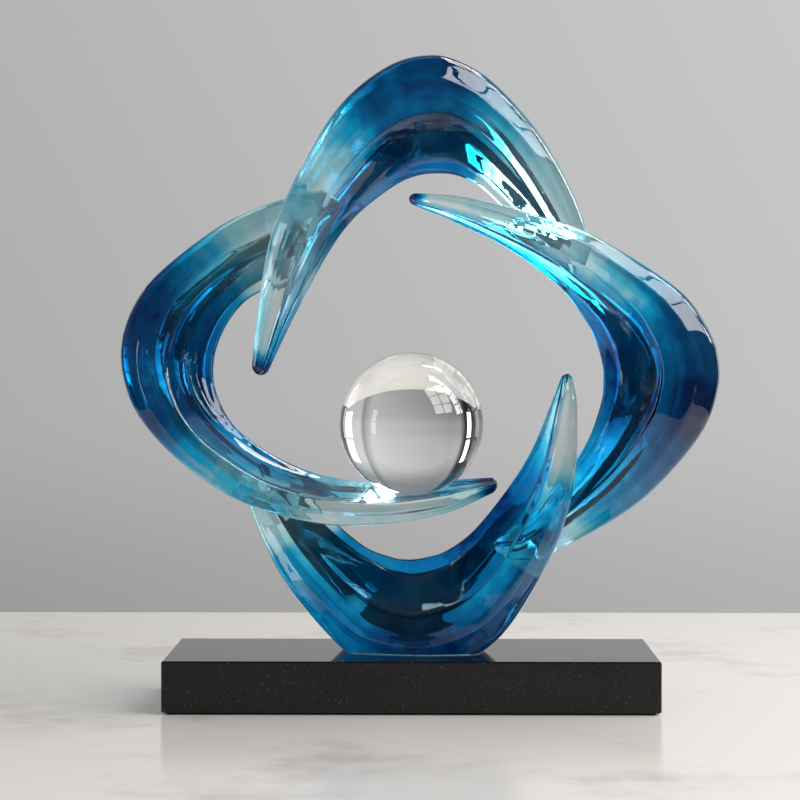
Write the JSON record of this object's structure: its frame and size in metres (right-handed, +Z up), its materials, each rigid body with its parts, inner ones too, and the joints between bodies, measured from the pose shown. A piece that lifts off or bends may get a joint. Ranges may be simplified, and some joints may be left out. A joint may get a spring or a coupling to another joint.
{
  "type": "sphere sculpture",
  "caption": "Abstract ring of lapped clear blue crescents on a black plinth, with a loose clear ball resting in a seat on the lower left tail.",
  "frame": {"origin": "middle of the liner's underside, on the surface the sculpture stands on", "axes": "+Z up, -Y towards the viewer, +X to the viewer's right along the plinth"},
  "size_m": [0.3348, 0.1, 0.3617],
  "materials": {
    "liner_foam": "matt black foam",
    "black_stone": "polished black with fine specks",
    "clear_adhesive": "clear",
    "blue_resin": "polished clear blue",
    "crystal": "polished clear"
  },
  "bodies": {
    "sculpture": {"base_liner": "liner_foam", "plinth": "black_stone", "foot_bond": "clear_adhesive", "crescent_upper": "blue_resin", "crescent_right": "blue_resin", "crescent_left": "blue_resin", "crescent_lower": "blue_resin", "lap_bond_top_left": "clear_adhesive", "lap_bond_top_right": "clear_adhesive", "lap_bond_bottom_right": "clear_adhesive", "lap_bond_bottom_left": "clear_adhesive"},
    "ball": {"crystal_ball": "crystal"}
  },
  "joints": [
    {"name": "ball_lift_out", "type": "slide", "parent": "sculpture", "child": "ball", "axis": [0, -0.866, 0.5], "range_m": [0, 0.11]}
  ]
}
